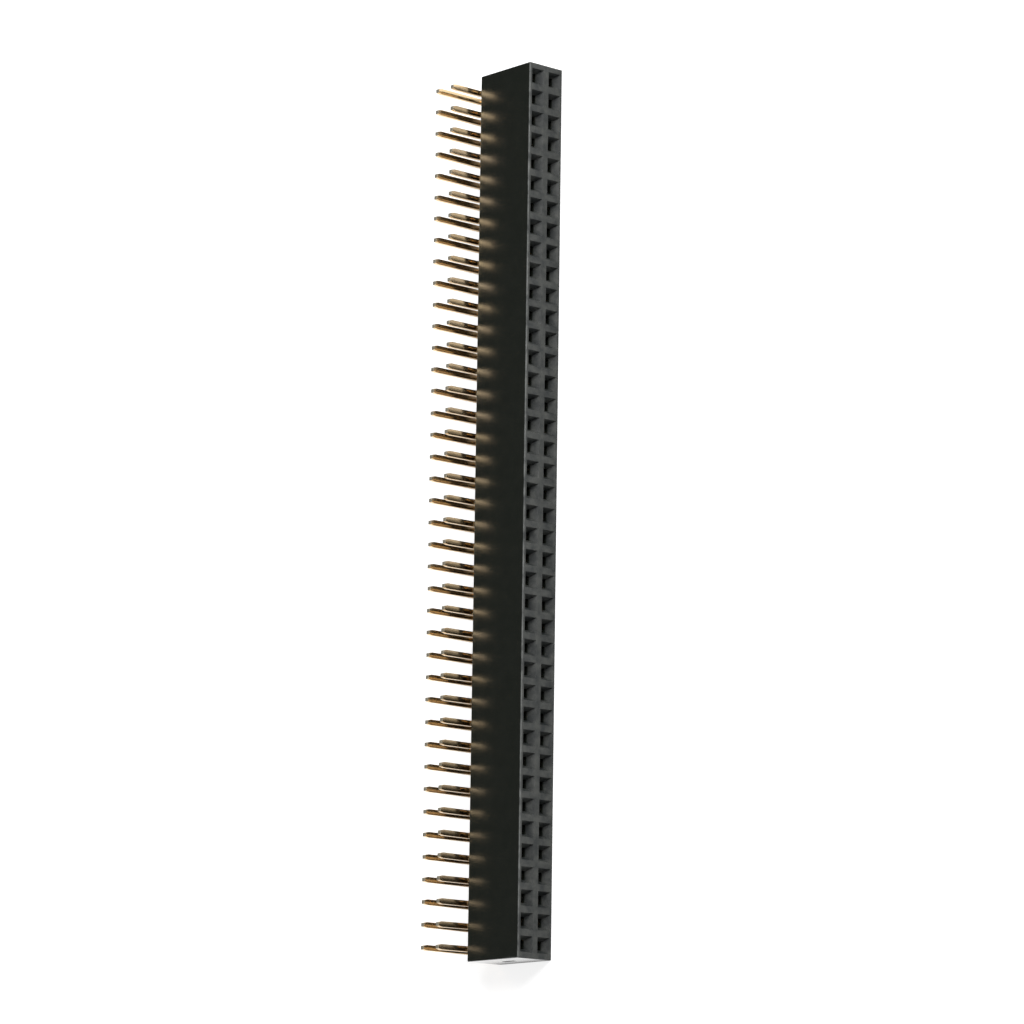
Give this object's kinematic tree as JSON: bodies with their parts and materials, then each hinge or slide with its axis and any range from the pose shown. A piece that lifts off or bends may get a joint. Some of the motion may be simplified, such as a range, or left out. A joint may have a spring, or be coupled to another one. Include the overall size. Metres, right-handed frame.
{
  "type": "right-angle female pin header",
  "caption": "Dual-row right-angle female pin header: a slim black moulded strip of square sockets, with gold-flashed spring contacts whose bent tails solder into a board.",
  "frame": {"origin": "middle of the housing's rest face, which lies opposite the board face", "axes": "+X along the header, -Y out of the mating face, +Z out of the board face, the way the solder tails point"},
  "size_m": [0.1022, 0.0127, 0.0082],
  "materials": {
    "housing_plastic": "glass-filled black plastic, semi-matt, with a smoother board face",
    "contact_gold": "thin gold flash over stamped copper alloy, satin"
  },
  "bodies": {
    "root": {"housing": "housing_plastic", "contact_pair_01": "contact_gold", "contact_pair_02": "contact_gold", "contact_pair_03": "contact_gold", "contact_pair_04": "contact_gold", "contact_pair_05": "contact_gold", "contact_pair_06": "contact_gold", "contact_pair_07": "contact_gold", "contact_pair_08": "contact_gold", "contact_pair_09": "contact_gold", "contact_pair_10": "contact_gold", "contact_pair_11": "contact_gold", "contact_pair_12": "contact_gold", "contact_pair_13": "contact_gold", "contact_pair_14": "contact_gold", "contact_pair_15": "contact_gold", "contact_pair_16": "contact_gold", "contact_pair_17": "contact_gold", "contact_pair_18": "contact_gold", "contact_pair_19": "contact_gold", "contact_pair_20": "contact_gold", "contact_pair_21": "contact_gold", "contact_pair_22": "contact_gold", "contact_pair_23": "contact_gold", "contact_pair_24": "contact_gold", "contact_pair_25": "contact_gold", "contact_pair_26": "contact_gold", "contact_pair_27": "contact_gold", "contact_pair_28": "contact_gold", "contact_pair_29": "contact_gold", "contact_pair_30": "contact_gold", "contact_pair_31": "contact_gold", "contact_pair_32": "contact_gold", "contact_pair_33": "contact_gold", "contact_pair_34": "contact_gold", "contact_pair_35": "contact_gold", "contact_pair_36": "contact_gold", "contact_pair_37": "contact_gold", "contact_pair_38": "contact_gold", "contact_pair_39": "contact_gold", "contact_pair_40": "contact_gold"}
  },
  "joints": []
}
